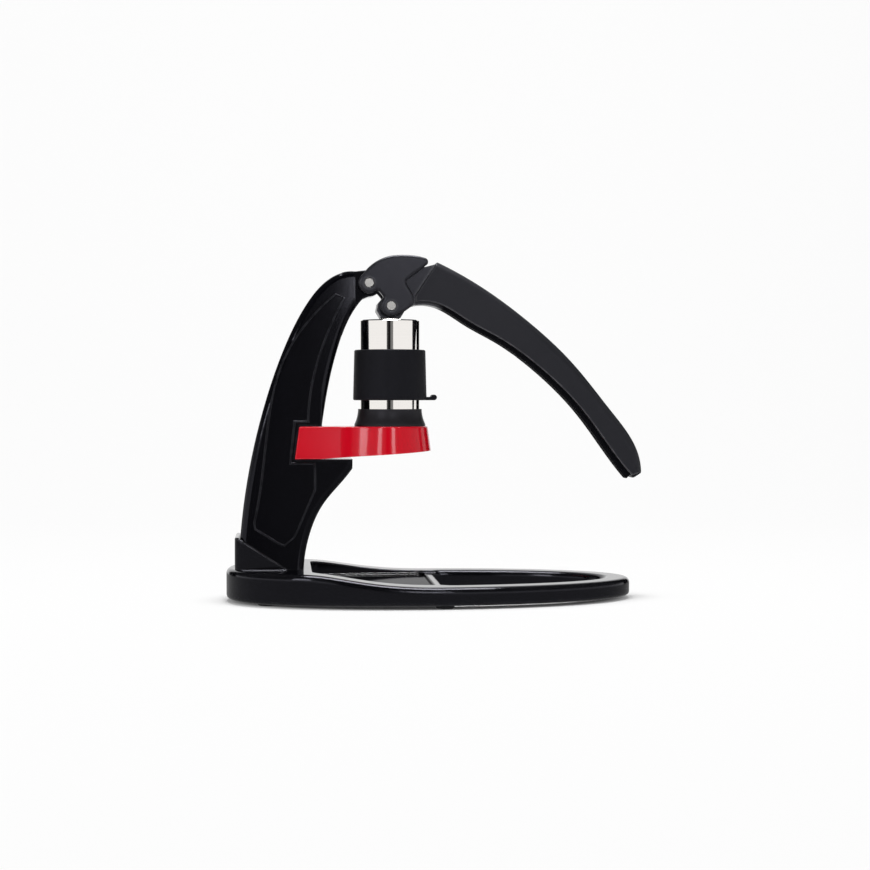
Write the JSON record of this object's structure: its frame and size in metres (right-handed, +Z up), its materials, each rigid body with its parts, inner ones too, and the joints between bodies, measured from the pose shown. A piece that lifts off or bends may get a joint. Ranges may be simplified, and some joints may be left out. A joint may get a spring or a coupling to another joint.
{
  "type": "hand-lever espresso press",
  "caption": "Hand-lever espresso press: oval base with drip tray, curved post, curved lever with grip, red holder with basket, sleeved brew cylinder and plunger.",
  "frame": {"origin": "on the table, half way along the part, in its plane of symmetry", "axes": "+X from the rear of the base to the lever's tip, +Y across, +Z up"},
  "size_m": [0.328, 0.156, 0.2697],
  "materials": {
    "base_black": "satin black enamel",
    "post_black": "gloss black enamel",
    "lever_black": "satin black enamel",
    "grip_black": "soft matt cover",
    "holder_red": "gloss red enamel",
    "tray_steel": "brushed",
    "steel": "fine turned",
    "pin_steel": "bright turned",
    "polished_steel": "polished",
    "silicone_black": "matt silicone",
    "collar_black": "satin moulded",
    "piston_black": "moulded",
    "seal_rubber": "smooth rubber",
    "foot_rubber": "matt rubber"
  },
  "bodies": {
    "frame": {"base_casting": "base_black", "post": "post_black", "clamp_washer": "steel", "rubber_foot_1": "foot_rubber", "rubber_foot_2": "foot_rubber", "rubber_foot_3": "foot_rubber", "rubber_foot_4": "foot_rubber", "rubber_foot_5": "foot_rubber"},
    "tray": {"drip_tray": "tray_steel"},
    "lever": {"lever_arm": "lever_black", "lever_grip": "grip_black", "lever_pin": "pin_steel", "foot_pin": "pin_steel"},
    "press_foot": {"press_foot": "lever_black"},
    "brew_head": {"holder": "holder_red", "filter_basket": "steel", "basket_screen": "steel", "dispersion_screen": "steel", "seal_ring": "seal_rubber", "cylinder_collar": "collar_black", "brew_cylinder": "polished_steel", "heat_sleeve": "silicone_black"},
    "plunger": {"plunger_stem": "steel", "piston_head": "piston_black", "piston_ring_1": "seal_rubber", "piston_ring_2": "seal_rubber"},
    "clamp": {"clamp_screw": "steel"}
  },
  "joints": [
    {"name": "lever_hinge", "type": "hinge", "parent": "frame", "child": "lever", "pos_m": [-0.0529, 0, 0.2479], "axis": [0, -1, 0], "range_deg": [0, 92]},
    {"name": "foot_pivot", "type": "hinge", "parent": "lever", "child": "press_foot", "pos_m": [-0.0357, 0, 0.2301], "axis": [0, -1, 0], "range_deg": [-92, 0]},
    {"name": "holder_slide", "type": "slide", "parent": "frame", "child": "brew_head", "axis": [1, 0, 0], "range_m": [0, 0.024]},
    {"name": "plunger_slide", "type": "slide", "parent": "brew_head", "child": "plunger", "axis": [0, 0, 1], "range_m": [0, 0.0358]},
    {"name": "tray_lift", "type": "slide", "parent": "frame", "child": "tray", "axis": [0, 0, 1], "range_m": [0, 0.03]},
    {"name": "clamp_turn", "type": "hinge", "parent": "frame", "child": "clamp", "pos_m": [-0.12915, 0, 0.017], "axis": [0, 0, 1], "continuous": true}
  ],
  "couplings": [
    {"joint": "foot_pivot", "follows": "lever_hinge", "ratio": -1},
    {"joint": "plunger_slide", "follows": "lever_hinge", "m_per_rad": 0.022171}
  ]
}
